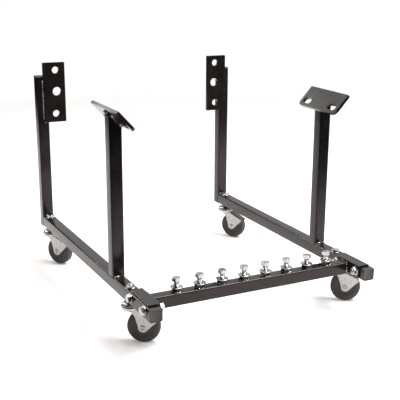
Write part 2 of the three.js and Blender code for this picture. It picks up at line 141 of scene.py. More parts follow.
LIGHTS = {                       # name: position, target, width, height, watts
    "key_left": ((-2.2, 1.6, 2.4), (-0.7, 0.9, 0), 2.4, 2.0, 9),
    "top_back": ((0.4, 1.6, 2.6), (0.3, 1.2, 0), 2.6, 1.8, 34),
    "top_front": ((0.9, -0.7, 2.2), (0, 0, 0), 1.3, 1.3, 78),
    "front_floor": ((1.6, -1.7, 1.9), (0.6, -0.9, 0), 1.4, 1.4, 22),
    "sparkle": ((-0.1, -1.3, 1.9), (0, -0.2, 0.1), 0.16, 0.16, 10),
    "edge_strip": ((-0.82, 1.5, 1.0), (-0.25, -0.2, 0.1), 0.36, 0.16, 5),
    "mount_back": ((-0.43, 1.56, 1.26), (0.2, -0.14, 0.42), 0.8, 0.6, 3.8),
}


# ---------------------------------------------------------------- material graphs
class Graph:
    """A node material: a few calls that add the nodes its surface needs."""

    def __init__(self, name):
        self.material = bpy.data.materials.new(name)
        self.material.use_nodes = True
        self.nodes = self.material.node_tree.nodes
        self.links = self.material.node_tree.links
        self.shader = self.nodes["Principled BSDF"]
        self.place = self.nodes.new("ShaderNodeTexCoord").outputs["Object"]

    def fixed(self, **values):
        """Sets sockets of the shader: specular_tint=... is its Specular Tint."""
        for key, value in values.items():
            socket = key.replace("_", " ").title().replace("Ior", "IOR")
            self.shader.inputs[socket].default_value = value

    def texture(self, kind, scale, output, **values):
        """A texture in the piece's own coordinates, which are metres."""
        node = self.nodes.new(kind)
        self.links.new(self.place, node.inputs["Vector"])
        node.inputs["Scale"].default_value = scale
        for key, value in values.items():
            node.inputs[key.title()].default_value = value
        return node.outputs[output]

    def noise(self, scale, detail=3.0, roughness=0.55):
        """Cloudy noise, 0 to 1."""
        return self.texture("ShaderNodeTexNoise", scale, "Fac", detail=detail, roughness=roughness)

    def cells(self, scale):
        """Distance to the nearest of many scattered points."""
        return self.texture("ShaderNodeTexVoronoi", scale, "Distance")

    def spread(self, source, low, high, start=0.0, stop=1.0):
        """Maps source, as it goes from start to stop, to low ... high."""
        node = self.nodes.new("ShaderNodeMapRange")
        self.links.new(source, node.inputs["Value"])
        node.inputs["From Min"].default_value = start
        node.inputs["From Max"].default_value = stop
        node.inputs["To Min"].default_value = low
        node.inputs["To Max"].default_value = high
        return node.outputs["Result"]

    def multiply(self, first, second):
        node = self.nodes.new("ShaderNodeMath")
        node.operation = "MULTIPLY"
        self.links.new(first, node.inputs[0])
        self.links.new(second, node.inputs[1])
        return node.outputs["Value"]

    def colours(self, factor, stops):
        """A colour ramp from a list of (position, colour)."""
        node = self.nodes.new("ShaderNodeValToRGB")
        self.links.new(factor, node.inputs["Fac"])
        ramp = node.color_ramp
        while len(ramp.elements) < len(stops):
            ramp.elements.new(0.5)
        for element, (position, colour) in zip(ramp.elements, stops):
            element.position = position
            element.color = (*colour, 1)
        return node.outputs["Color"]

    def blend(self, factor, first, second):
        """A mix of two colours, each a tuple or a node's output."""
        node = self.nodes.new("ShaderNodeMix")
        node.data_type = "RGBA"
        self.links.new(factor, node.inputs["Factor"])
        for letter, value in (("A", first), ("B", second)):
            socket = next(s for s in node.inputs if s.name == letter and s.type == "RGBA")
            if isinstance(value, tuple):
                socket.default_value = (*value, 1)
            else:
                self.links.new(value, socket)
        return next(s for s in node.outputs if s.type == "RGBA")

    def upward(self):
        """1 on faces that look up, 0 on the rest."""
        normal = self.nodes.new("ShaderNodeNewGeometry").outputs["Normal"]
        split = self.nodes.new("ShaderNodeSeparateXYZ")
        self.links.new(normal, split.inputs["Vector"])
        return self.spread(split.outputs["Z"], 0, 1, 0.5, 1)

    def bumps(self, *layers):
        """Layers of (height, strength, distance in metres), one over the other."""
        normal = None
        for height, strength, distance in layers:
            node = self.nodes.new("ShaderNodeBump")
            node.inputs["Strength"].default_value = strength
            node.inputs["Distance"].default_value = distance
            self.links.new(height, node.inputs["Height"])
            if normal is not None:
                self.links.new(normal, node.inputs["Normal"])
            normal = node.outputs["Normal"]
        self.links.new(normal, self.shader.inputs["Normal"])

    def drive(self, socket, source):
        """Lets a node's output set one of the shader's sockets."""
        self.links.new(source, self.shader.inputs[socket])


def gloss_paint(name, dark=0.006, roughness=(0.1, 0.2), painted_glints=False):
    """Black enamel over steel: orange peel, faint smears, dust on what looks up, and on welds painted
    glints when asked.
    """
    graph = Graph(name)
    smears = graph.noise(28, 5)
    tone = graph.colours(smears, [(0.3, (dark * 1.1, dark * 0.95, dark * 0.95)),
                                  (0.75, (dark * 2.3, dark * 1.9, dark * 1.85))])
    specks = graph.spread(graph.noise(900, 2), 0, 1, 0.62, 0.72)
    dust = graph.multiply(graph.multiply(graph.upward(), specks), graph.spread(smears, 0.05, 0.8))
    coloured = graph.blend(dust, tone, (0.26, 0.25, 0.24))
    if painted_glints:                         # painted glints: bright bare-metal specks on the ripples of a weld stand in for glints on the glossy paint
        glint_specks = graph.spread(graph.noise(380, 2), 0, 1, 0.54, 0.58)
        graph.drive("Metallic", glint_specks)
        coloured = graph.blend(glint_specks, coloured, (0.8, 0.78, 0.76))
    graph.drive("Base Color", coloured)
    graph.drive("Roughness", graph.spread(graph.noise(60, 4), *roughness, 0.3, 0.7))
    graph.drive("Specular IOR Level", graph.spread(graph.noise(1000, 3, 0.7), 0.15, 0.8, 0.33, 0.67))
    graph.fixed(ior=1.41, specular_tint=(1, 0.9, 0.87, 1))
    graph.bumps((graph.noise(700, 2), 0.16, 0.0005), (graph.noise(70, 2), 0.1, 0.0015))
    return graph.material


def bright_plating(name, tone=0.52, roughness=(0.14, 0.3)):
    """Nickel-bright zinc plating with fine drawn marks and dull patches."""
    graph = Graph(name)
    patches = graph.noise(160, 4)
    dull = tone * 0.82
    graph.drive("Base Color", graph.colours(patches, [(0.3, (dull, dull, dull)),
                                                      (0.7, (tone, tone * 0.99, tone * 0.97))]))
    graph.drive("Roughness", graph.spread(patches, *roughness, 0.3, 0.7))
    graph.fixed(metallic=1.0)
    graph.bumps((graph.noise(1400, 2), 0.1, 0.0003))
    return graph.material


def stamped_zinc(name):
    """Dull zinc on stamped steel: fine grain, cloudy spangle and slight die marks."""
    graph = Graph(name)
    grain = graph.noise(900, 3, 0.75)
    clouds = graph.noise(90, 4)
    shade = graph.multiply(graph.spread(grain, 0.45, 1.2, 0.35, 0.65),
                           graph.spread(clouds, 0.8, 1.1, 0.3, 0.7))
    graph.drive("Base Color", graph.colours(shade, [(0.35, (0.2, 0.197, 0.19)),
                                                    (1.0, (0.54, 0.53, 0.515))]))
    graph.drive("Roughness", graph.spread(clouds, 0.3, 0.48, 0.3, 0.7))
    graph.fixed(metallic=1.0)
    graph.bumps((grain, 0.4, 0.0004), (graph.cells(260), 0.1, 0.0005))
    return graph.material


def moulded_rubber(name):
    """Solid rubber: brown-black, fine pitting, and dust worn on in patches."""
    graph = Graph(name)
    wear = graph.noise(55, 5, 0.65)
    graph.drive("Base Color", graph.colours(wear, [(0.3, (0.024, 0.022, 0.021)),
                                                   (0.6, (0.038, 0.035, 0.033)),
                                                   (0.8, (0.075, 0.069, 0.064))]))
    graph.drive("Roughness", graph.spread(wear, 0.42, 0.7, 0.3, 0.7))
    graph.bumps((graph.noise(1100, 3), 0.25, 0.0004), (graph.noise(180, 2), 0.15, 0.0006))
    return graph.material


def moulded_plastic(name):
    """Grained grey-black plastic of the end plugs."""
    graph = Graph(name)
    cloud = graph.noise(120, 3)
    graph.drive("Base Color", graph.colours(cloud, [(0.3, (0.03, 0.03, 0.029)),
                                                    (0.7, (0.048, 0.047, 0.045))]))
    graph.drive("Roughness", graph.spread(cloud, 0.38, 0.55, 0.3, 0.7))
    graph.bumps((graph.cells(1800), 0.3, 0.0003))
    return graph.material


def studio_floor(name):
    """A matt pale floor that glows a little and turns clear towards the horizon."""
    graph = Graph(name)
    tone = FLOOR_WHITE
    graph.drive("Base Color", graph.colours(graph.noise(3, 2), [
        (0.3, (tone * 0.99, tone * 0.955, tone * 0.945)),
        (0.7, (tone, tone * 0.965, tone * 0.955))]))
    graph.fixed(roughness=0.9, specular_ior_level=0.1,
                emission_color=(1, 1, 1, 1), emission_strength=FLOOR_GLOW)
    far = graph.nodes.new("ShaderNodeVectorMath")
    far.operation = "DISTANCE"
    graph.links.new(graph.place, far.inputs[0])
    far.inputs[1].default_value = FLOOR_MIDDLE
    graph.drive("Alpha", graph.spread(far.outputs["Value"], 1, 0, *FLOOR_FADE))
    return graph.material


PAINT = gloss_paint("black_paint")
# a darker, glossier copy of the black paint for the weld nuts; its darker tone is painted shade
SHADED_NUT_ENAMEL = gloss_paint("shaded_nut_enamel", 0.004, (0.06, 0.14))
# the welds' paint carries painted glints: bright metallic specks on the bead ripples
WELD_PAINT = gloss_paint("painted_weld", 0.008, (0.06, 0.14), painted_glints=True)
CHROME = bright_plating("bright_plating")
# a darker, rougher copy of the plating for the rear clamp nuts; its darker tone is painted shade
SHADED_PLATING = bright_plating("shaded_plating", 0.2, (0.35, 0.5))
ZINC = stamped_zinc("stamped_zinc")
RUBBER = moulded_rubber("moulded_rubber")
PLASTIC = moulded_plastic("moulded_plastic")
SLOTS = {"black_paint": PAINT, "chrome_hardware": CHROME, "zinc_fork": ZINC,
         "black_rubber": RUBBER, "black_plastic": PLASTIC}


# ---------------------------------------------------------------- outlines, in millimetres
def circle(radius, count=40, x=0, y=0):
    """Points round a circle."""
    angles = [2 * math.pi * step / count for step in range(count)]
    return [(x + radius * math.cos(a), y + radius * math.sin(a)) for a in angles]


def arc(x, y, radius, start, stop, count=8):
    """Points along an arc round x, y, between two angles in degrees."""
    angles = [math.radians(start + (stop - start) * step / count) for step in range(count + 1)]
    return [(x + radius * math.cos(a), y + radius * math.sin(a)) for a in angles]


def rounded(width, height, radii, count=6):
    """An oblong with its own radius at each corner: lower left, lower right, upper right, upper left."""
    x, y = width / 2, height / 2
    corners = [(-x, -y, 1, 1, 180), (x, -y, -1, 1, 270), (x, y, -1, -1, 0), (-x, y, 1, -1, 90)]
    points = []
    for radius, (cx, cy, dx, dy, start) in zip(radii, corners):
        if radius:
            points += arc(cx + dx * radius, cy + dy * radius, radius, start, start + 90, count)
        else:
            points.append((cx, cy))
    return points


def slot_outline(length, width, x, y):
    """A slot with round ends, lying along Y."""
    radius = width / 2
    reach = length / 2 - radius
    return arc(x, y + reach, radius, 0, 180, 12) + arc(x, y - reach, radius, 180, 360, 12)


def bezier(a, b, c, d, count):
    """Points along a cubic curve, without its first point."""
    made = []
    for step in range(1, count + 1):
        t = step / count
        u = 1 - t
        weights = (u ** 3, 3 * u * u * t, 3 * u * t * t, t ** 3)
        made.append(tuple(sum(w * p[k] for w, p in zip(weights, (a, b, c, d))) for k in (0, 1)))
    return made


# ---------------------------------------------------------------- solids
def solid(outlines, depth):
    """A flat outline with holes, made into a body from z = 0 to z = depth."""
    bm = bmesh.new()
    edges = []
    for points in outlines:
        corners = [bm.verts.new((x, y, 0)) for x, y in points]
        edges += [bm.edges.new((a, b)) for a, b in zip(corners, corners[1:] + corners[:1])]
    faces = bmesh.ops.triangle_fill(bm, edges=edges, use_beauty=True)["geom"]
    faces = [item for item in faces if isinstance(item, bmesh.types.BMFace)]
    grown = bmesh.ops.extrude_face_region(bm, geom=faces)["geom"]
    top = [item for item in grown if isinstance(item, bmesh.types.BMVert)]
    bmesh.ops.translate(bm, verts=top, vec=(0, 0, depth))
    return bm


def turned(profile, count=48, closed=True):
    """A body turned about Z from (radius, z) points, listed from the bottom up."""
    bm = bmesh.new()
    rings = []
    for radius, z in profile:
        if radius == 0:
            rings.append([bm.verts.new((0, 0, z))])
            continue
        rings.append([bm.verts.new((x, y, z)) for x, y in circle(radius, count)])
    pairs = list(zip(rings, rings[1:]))
    if closed:
        pairs.append((rings[-1], rings[0]))
    for low, high in pairs:
        for step in range(count):
            after = (step + 1) % count
            corners = [low[step % len(low)], low[after % len(low)],
                       high[after % len(high)], high[step % len(high)]]
            corners = list(dict.fromkeys(corners))
            if len(corners) > 2:
                bm.faces.new(corners)
    return bm


def hexagon(flats, height, hole=0, both_ends=False, steps=8):
    """A hexagon standing on z = 0, its corners cut back by a cone as on a real bolt head or nut."""
    count = 6 * steps
    bare = flats / 2 * 0.97             # radius of the round, uncut middle of the end face
    slope = math.tan(math.radians(28))
    chamfer = 0.7

    def radius(step):
        away = math.radians((step % steps) * 60 / steps - 30)
        return flats / 2 / math.cos(away)

    def ring(z, radii):
        angles = [2 * math.pi / count * i for i in range(count)]
        return [bm.verts.new((r * math.cos(a), r * math.sin(a), z)) for r, a in zip(radii, angles)]

    bm = bmesh.new()
    wide = [radius(step) for step in range(count)]
    drop = [(r - bare) * slope for r in wide]
    rings = []
    if both_ends:
        rings.append(ring(0, [bare] * count))
    low = ring(0, wide)
    high = ring(height, wide)
    for step in range(count):
        high[step].co.z -= drop[step]
        low[step].co.z += drop[step] if both_ends else 0
    rings += [low, high, ring(height, [bare] * count)]
    if hole:
        rings += [ring(height, [hole + chamfer] * count), ring(height - chamfer, [hole] * count)]
        rings += [ring(chamfer, [hole] * count), ring(0, [hole + chamfer] * count)]
        rings.append(rings[0])
    for first, second in zip(rings, rings[1:]):
        for step in range(count):
            after = (step + 1) % count
            bm.faces.new((first[step], first[after], second[after], second[step]))
    if not hole:
        bm.faces.new(rings[-1])
        bm.faces.new(list(reversed(rings[0])))
    return bm


def threaded(radius, start, stop, pitch, count=24, steps=6):
    """A rod with a helical thread cut into it, between two heights, closed at both ends."""
    depth = pitch * 0.45
    bm = bmesh.new()
    levels = int((stop - start) / pitch * steps)
    rings = []
    for level in range(levels + 1):
        z = start + (stop - start) * level / levels
        ring = []
        for x, y in circle(1, count):
            phase = (z / pitch - math.atan2(y, x) / (2 * math.pi)) % 1
            fade = min(1, (stop - z) / pitch, (z - start) / pitch)
            groove = depth * abs(2 * phase - 1) * max(fade, 0.3)
            ring.append(bm.verts.new((x * (radius - groove), y * (radius - groove), z)))
        rings.append(ring)
    for low, high in zip(rings, rings[1:]):
        for step in range(count):
            after = (step + 1) % count
            bm.faces.new((low[step], low[after], high[after], high[step]))
    bm.faces.new(rings[-1])
    bm.faces.new(list(reversed(rings[0])))
    return bm


def add(bm, other, place=None):
    """Adds another body's faces to bm, moved by place."""
    if place is not None:
        other.transform(place)
    spare = bpy.data.meshes.new("spare")
    other.to_mesh(spare)
    bm.from_mesh(spare)
    bpy.data.meshes.remove(spare)
    other.free()
    return bm


def piece(name, bm, place, body, slot, replaces=(), bevel=0.0, sharp=32, material=None):
    """One visible piece: its mesh goes to its place in the frame and rides on a CAD body."""
    bm.transform(place @ TO_METRES)
    bmesh.ops.recalc_face_normals(bm, faces=bm.faces)
    mesh = bpy.data.meshes.new(name)
    bm.to_mesh(mesh)
    bm.free()
    mesh.materials.append(material or SLOTS[slot])
    mesh.shade_smooth()
    made = bpy.data.objects.new(name, mesh)
    bpy.context.scene.collection.objects.link(made)
    if bevel:
        edge = made.modifiers.new("edge", "BEVEL")
        edge.width = bevel * MM
        edge.segments = 2
        edge.limit_method = "ANGLE"
        edge.angle_limit = math.radians(sharp)
        edge.harden_normals = True
        edge.use_clamp_overlap = True
    else:
        mesh.set_sharp_from_angle(angle=math.radians(sharp))
    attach(made, body)
    if replaces:
        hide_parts(*replaces)
    return made


# ---------------------------------------------------------------- places in the frame
def middle(node):
    """The middle of a CAD node's box."""
    lo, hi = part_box(node)
    return (lo + hi) / 2


def record_mount(name):
    """Position and direction of one of the part's mounts."""
    found = next(m for m in frame["record"]["mounts"] if m["name"] == name)
    return Vector(found["pos_m"]), Vector(found["axis"]).normalized()


def record_opening(name):
    """The middle of one of the part's openings."""
    found = next(o for o in frame["record"]["physics"]["openings"] if o["name"] == name)
    return (Vector(found["box_m"][0]) + Vector(found["box_m"][1])) / 2


def joint(name):
    """Position and axis of a joint."""
    found = next(j for j in frame["joints"] if j["name"] == name)
    return Vector(found["pos_m"]), Vector(found["axis"]).normalized()


def facing(origin, x_axis, z_axis):
    """A place whose local X and Z point along the given directions."""
    z = Vector(z_axis).normalized()
    x = Vector(x_axis).normalized()
    y = z.cross(x)
    place = Matrix((x, y, z)).transposed().to_4x4()
    place.translation = origin
    return place


# ---------------------------------------------------------------- welds
def even_steps(path, length, closed):
    """Points along a path, about one step length apart."""
    ends = list(zip(path, path[1:] + path[:1])) if closed else list(zip(path, path[1:]))
    points = []
    for a, b in ends:
        count = max(2, int((b - a).length / length))
        points += [a.lerp(b, i / count) for i in range(count)]
    if not closed:
        points.append(path[-1])
    return points


def bead(name, path, radius, seed, closed=False):
    """A weld bead: a lumpy, rippled ridge along a path of points in metres."""
    points = even_steps(path, BEAD_STEP * MM, closed)
    bm = bmesh.new()
    rings = []
    total = len(points)
    for index, point in enumerate(points):
        ahead = points[(index + 1) % total] if closed else points[min(index + 1, total - 1)]
        behind = points[index - 1] if closed else points[max(index - 1, 0)]
        along = (ahead - behind).normalized()
        side = along.orthogonal().normalized()
        lift = along.cross(side)
        travelled = index * (BEAD_STEP * MM)
        scale = 1 + 0.16 * math.cos(2 * math.pi * travelled / (BEAD_RIPPLE * MM))
        scale += 0.3 * noise.noise(Vector((travelled / 0.006, seed * 7.3, 0)))
        if not closed:                  # the ends taper off
            scale *= min(1, 0.35 + 0.25 * min(index, total - 1 - index))
        drift = [noise.noise(point / 0.009 + Vector((seed, k, 0))) for k in range(3)]
        wander = Vector(drift) * radius * MM * 0.3
        ring = []
        for x, y in circle(radius * MM * scale, BEAD_SIDES):
            ring.append(bm.verts.new((point + wander + side * x + lift * y) / MM))
        rings.append(ring)
    pairs = list(zip(rings, rings[1:]))
    if closed:
        pairs.append((rings[-1], rings[0]))
    for first, second in pairs:
        for i in range(BEAD_SIDES):
            j = (i + 1) % BEAD_SIDES
            bm.faces.new((first[i], first[j], second[j], second[i]))
    if not closed:
        bm.faces.new(rings[-1])
        bm.faces.new(list(reversed(rings[0])))
    return piece(name, bm, Matrix(), "frame", "black_paint", sharp=180, material=WELD_PAINT)


# ---------------------------------------------------------------- tubes and their plugs
def tube_solid(length):
    """A hollow square tube standing on z = 0."""
    inner = TUBE - 2 * TUBE_WALL
    return solid([rounded(TUBE, TUBE, [TUBE_CORNER] * 4),
                  rounded(inner, inner, [TUBE_CORNER / 2] * 4, 3)], length)


TUBE_TURNS = {                      # frame axis: turn that lays an upright tube along it
    0: Matrix.Rotation(math.pi / 2, 4, "Y"),
    1: Matrix.Rotation(-math.pi / 2, 4, "X"),
    2: Matrix(),
}


def tube_piece(node, axis, cut=None):
    """A square tube along one axis of the frame, as long as its CAD node's box.

    cut is a point and a normal: what lies beyond that plane is cut off.
    """
    lo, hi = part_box(node)
    start = (lo + hi) / 2
    start[axis] = lo[axis]
    if axis == 0:                       # the weld nuts stand above the crossbar's tube
        start.z = lo.z + TUBE / 2 * MM
    bm = tube_solid((hi[axis] - lo[axis]) / MM)
    place = Matrix.Translation(start) @ TUBE_TURNS[axis]
    if cut is not None:
        point, normal = cut
        back = (place @ TO_METRES).inverted()
        local = back @ point
        direction = (back.to_3x3() @ normal).normalized()
        everything = bm.verts[:] + bm.edges[:] + bm.faces[:]
        bmesh.ops.bisect_plane(bm, geom=everything, plane_co=local, plane_no=direction,
                               clear_outer=True)
        rim = [edge for edge in bm.edges if edge.is_boundary]
        bmesh.ops.triangle_fill(bm, edges=rim, use_beauty=True)
    return piece(node + "_tube", bm, place, "frame", "black_paint", [node], bevel=0.3, sharp=40)


def plug_piece(node, place):
    """A plastic plug: a rounded rim with a shallow dish in its face, and a ribbed shank."""
    shank = TUBE - 2 * TUBE_WALL - PLUG_SHANK_PLAY
    bm = solid([rounded(TUBE, TUBE, [PLUG_CORNER] * 4, 6)], PLUG_RIM)
    top = [f for f in bm.faces if abs(f.calc_center_median().z - PLUG_RIM) < 0.01]
    bmesh.ops.inset_region(bm, faces=top, thickness=PLUG_LAND, depth=0)
    bmesh.ops.inset_region(bm, faces=top, thickness=0.8, depth=-PLUG_DISH)
    add(bm, solid([rounded(shank, shank, [1.2] * 4, 3)], PLUG_SHANK),
        Matrix.Translation((0, 0, -PLUG_SHANK)))
    return piece(node + "_moulding", bm, place, "frame", "black_plastic", [node], bevel=0.7, sharp=50)


# ---------------------------------------------------------------- side frames
def rear_plate(side):
    """The flat bar on a rear post, with its three holes."""
    node = "rear_plate_" + side
    lo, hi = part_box(node)
    centre = (lo + hi) / 2
    outline = rounded(PLATE_WIDTH, (hi.z - lo.z) / MM, [PLATE_CORNER] * 4, 4)
    holes = []
    for level, diameter in REAR_HOLES.items():
        hole = (record_opening(f"rear_hole_{level}_{side}") - centre) / MM
        holes.append(circle(diameter / 2, 48, hole.x, hole.z))
    place = facing(Vector((centre.x, hi.y, centre.z)), (1, 0, 0), (0, -1, 0))
    bm = solid([outline, *holes], PLATE_THICKNESS)
    return piece(node + "_plate", bm, place, "frame", "black_paint", [node], bevel=EDGE_BEVEL, sharp=40)


def mount_plate(side):
    """The sloping plate on a front post, with two slots and two rounded corners."""
    node = "mount_plate_" + side
    point, normal = record_mount(node)
    down = normal.cross(Vector((0, 1, 0)))
    down = down if down.z < 0 else -down
    place = facing(point, down, normal) @ Matrix.Translation((0, 0, -PLATE_THICKNESS * MM))
    big = MOUNT_PLATE_ROUND
    outline = rounded(PLATE_WIDTH, MOUNT_PLATE_LENGTH, [1, big, big, 1], 8)
    x = PLATE_WIDTH / 2 - MOUNT_SLOT_EDGE
    slots = [slot_outline(MOUNT_SLOT_LENGTH, MOUNT_SLOT_WIDTH, x, along * MOUNT_SLOT_PITCH / 2)
             for along in (-1, 1)]
    bm = solid([outline, *slots], PLATE_THICKNESS)
    return piece(node + "_plate", bm, place, "frame", "black_paint", [node], bevel=EDGE_BEVEL, sharp=40)


def side_frame(side, sign):
    """Rail, both posts with their plates, three plugs and the welds of one side."""
    point, normal = record_mount("mount_plate_" + side)
    underside = point - normal * (PLATE_THICKNESS + POST_GAP) * MM
    tube_piece("rail_" + side, 1)
    tube_piece("rear_post_" + side, 2)
    tube_piece("front_post_" + side, 2, cut=(underside, normal))
    rear_plate(side)
    mount_plate(side)

    lo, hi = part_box("rail_plug_" + side)
    centre = (lo + hi) / 2
    plug_piece("rail_plug_" + side,
               facing(Vector((centre.x, lo.y + PLUG_RIM * MM, centre.z)), (1, 0, 0), (0, -1, 0)))
    lo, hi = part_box("post_cap_" + side)
    centre = (lo + hi) / 2
    plug_piece("post_cap_" + side, Matrix.Translation((centre.x, centre.y, hi.z - PLUG_RIM * MM)))
    lo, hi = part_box("post_foot_" + side)
    plug_piece("post_foot_" + side,
               facing(Vector((centre.x, centre.y, lo.z + PLUG_RIM * MM)), (1, 0, 0), (0, 0, -1)))
    side_welds(side, sign, underside, normal)


def side_welds(side, sign, underside, normal):
    """Beads at the feet of the posts, round the plates and at the rear end of the rail."""
    half = (TUBE / 2 - 1.5) * MM
    rail_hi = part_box("rail_" + side)[1]
    post_lo, post_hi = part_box("front_post_" + side)
    x = (post_lo.x + post_hi.x) / 2
    top = rail_hi.z + 0.6 * MM
    seed = 10 if sign < 0 else 20
    for number, y in enumerate((post_lo.y - 0.5 * MM, post_hi.y + 0.5 * MM)):
        path = [Vector((x - half, y, top)), Vector((x + half, y, top))]
        bead(f"foot_weld_{number}_{side}", path, BEAD_RADIUS["foot"], seed + number)

    def under(px, py):
        """A point just below the sloping plate."""
        rise = -(normal.x * (px - underside.x) + normal.y * (py - underside.y)) / normal.z
        return Vector((px, py, underside.z + rise - 0.8 * MM))

    for number, y in enumerate((post_lo.y - 0.4 * MM, post_hi.y + 0.4 * MM)):
        path = [under(x - half, y), under(x + half, y)]
        bead(f"mount_weld_{number}_{side}", path, BEAD_RADIUS["mount"], seed + 2 + number)
    for number, px in enumerate((post_lo.x - 0.4 * MM, post_hi.x + 0.4 * MM)):
        path = [under(px, post_lo.y + 2 * MM), under(px, post_hi.y - 2 * MM)]
        bead(f"mount_weld_{number + 2}_{side}", path, BEAD_RADIUS["mount_end"], seed + 4 + number)

    plate_lo, plate_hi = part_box("rear_plate_" + side)
    back_lo, back_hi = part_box("rear_post_" + side)
    outer_edge = plate_lo.x if sign < 0 else plate_hi.x
    heights = [plate_lo.z + 4 * MM, back_hi.z - 4 * MM]
    path = [Vector((outer_edge + sign * 0.5 * MM, plate_hi.y - 0.4 * MM, z)) for z in heights]
    bead("plate_weld_front_" + side, path, BEAD_RADIUS["plate"], seed + 6)
    inner_edge = back_hi.x if sign < 0 else back_lo.x
    path = [Vector((inner_edge - sign * 0.4 * MM, plate_hi.y + 0.6 * MM, z)) for z in heights]
    bead("plate_weld_back_" + side, path, BEAD_RADIUS["plate"], seed + 7)
    low = plate_lo.z - 0.5 * MM
    inner = inner_edge + sign * 2.5 * MM
    path = [Vector((px, plate_hi.y - 0.6 * MM, low)) for px in (outer_edge - sign * MM, inner)]
    bead("plate_weld_low_" + side, path, BEAD_RADIUS["plate_low"], seed + 8)
    y = back_lo.y - 0.4 * MM
    path = [Vector((x - half, y, top)), Vector((x + half, y, top))]
    bead("rail_end_weld_" + side, path, BEAD_RADIUS["rail_end"], seed + 9)


# ---------------------------------------------------------------- fasteners
def washer_solid(radius, thickness, hole):
    """A flat ring on z = 0 with its edges broken."""
    soft = 0.35
    return turned([(hole, 0), (radius - soft, 0), (radius, soft), (radius, thickness - soft),
                   (radius - soft, thickness), (hole + soft, thickness), (hole, thickness - soft)], 40)


def bolt_solid(size, shank_start, flanged=False):
    """A hex bolt with its head above z = 0 and its thread below, down to shank_start."""
    face = 0.4                          # height of the round face under the head
    bearing = size["flats"] / 2 - 0.4
    bm = hexagon(size["flats"], size["head"] - face)
    bm.transform(Matrix.Translation((0, 0, FLANGE_THICKNESS if flanged else face)))
    add(bm, turned([(0, 0), (bearing - 0.2, 0), (bearing, 0.5), (0, 0.5)], 40, False))
    add(bm, threaded(size["radius"], shank_start, 0.2, size["pitch"]))
    if flanged:
        add(bm, washer_solid(FLANGE_RADIUS, FLANGE_THICKNESS, FLANGE_HOLE))
    return bm


def stored_bolt(number):
    """One of the bolts along the crossbar, with its loose washer a little askew."""
    node = f"stored_bolt_{number}"
    lo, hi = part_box(node)
    centre = (lo + hi) / 2
    random.seed(number)
    place = Matrix.Translation((centre.x, centre.y, hi.z - STORED["head"] * MM))
    place = place @ Matrix.Rotation(number, 4, "Z")
    bm = bolt_solid(STORED, -(hi.z - lo.z) / MM + STORED["head"])
    piece(node + "_bolt", bm, place, "frame", "chrome_hardware", [node], sharp=24)
    node = f"stored_washer_{number}"
    lo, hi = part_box(node)
    tilt = Matrix.Rotation(math.radians(random.uniform(-0.8, 0.8)), 4, "X")
    place = Matrix.Translation((centre.x, centre.y, lo.z)) @ tilt
    bm = washer_solid(WASHER_RADIUS, (hi.z - lo.z) / MM, STORED["radius"] + 0.6)
    piece(node + "_ring", bm, place, "frame", "chrome_hardware", [node])


def clamp_fastener(end, side, sign):
    """Bolt from the outside of the rail, nut against the bracket inside."""
    node = f"clamp_bolt_{end}_{side}"
    lo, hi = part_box(node)
    centre = (lo + hi) / 2
    outward = Vector((sign, 0, 0))
    rail_lo, rail_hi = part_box("rail_" + side)
    face = rail_lo.x if sign < 0 else rail_hi.x
    place = facing(Vector((face, centre.y, centre.z)), (0, 0, 1), outward)
    place = place @ Matrix.Rotation(CLAMP_TURN[end], 4, "Z")
    reach = abs((hi.x if sign < 0 else lo.x) - face) / MM
    bm = bolt_solid(CLAMP, -reach, flanged=True)
    piece(node + "_bolt", bm, place, "frame", "chrome_hardware", [node], sharp=24)

    node = f"clamp_nut_{end}_{side}"
    lo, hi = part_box(node)
    face = lo.x if sign < 0 else hi.x
    place = facing(Vector((face, centre.y, centre.z)), (0, 0, 1), -outward)
    bm = hexagon(CLAMP["flats"], CLAMP_NUT_HEIGHT, CLAMP["radius"] + 0.2)
    add(bm, washer_solid(FLANGE_RADIUS, FLANGE_THICKNESS, FLANGE_HOLE))
    # the rear clamp nuts take the darker copy of the plating: painted shade
    piece(node + "_nut", bm, place, "frame", "chrome_hardware", [node], sharp=24,
          material=SHADED_PLATING if end == "rear" else None)


# ---------------------------------------------------------------- crossbar and brackets
def crossbar():
    """The crossbar's tube, its row of welded nuts and the beads at its ends."""
    tube_piece("crossbar", 0)
    lo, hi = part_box("crossbar")
    top = lo.z + TUBE * MM
    y = (lo.y + hi.y) / 2
    for number in BOLT_NUMBERS:
        x = middle(f"stored_bolt_{number}").x
        place = Matrix.Translation((x, y, top)) @ Matrix.Rotation(0.3 * number, 4, "Z")
        bm = hexagon(WELD_NUT_FLATS, (hi.z - top) / MM, STORED["radius"] + 0.25)
        # the weld nuts take the darker copy of the paint: painted shade
        piece(f"weld_nut_{number}", bm, place, "frame", "black_paint", sharp=24, material=SHADED_NUT_ENAMEL)
        around = circle(WELD_NUT_FLATS / 2 + 0.9, 24)
        ring = [Vector((x + px * MM, y + py * MM, top + 0.3 * MM)) for px, py in around]
        bead(f"nut_weld_{number}", ring, BEAD_RADIUS["nut"], 40 + number, closed=True)
    for side, end in (("left", lo.x), ("right", hi.x)):
        front, back = lo.y - 0.3 * MM, hi.y + 0.3 * MM
        low, high = lo.z + 6 * MM, top + 0.3 * MM
        inward = 0.6 * MM * (1 if side == "left" else -1)
        corners = ((front, low), (front, high), (back, high), (back, low))
        path = [Vector((end + inward, y, z)) for y, z in corners]
        bead("crossbar_weld_" + side, path, BEAD_RADIUS["crossbar"], 60 if side == "left" else 61)


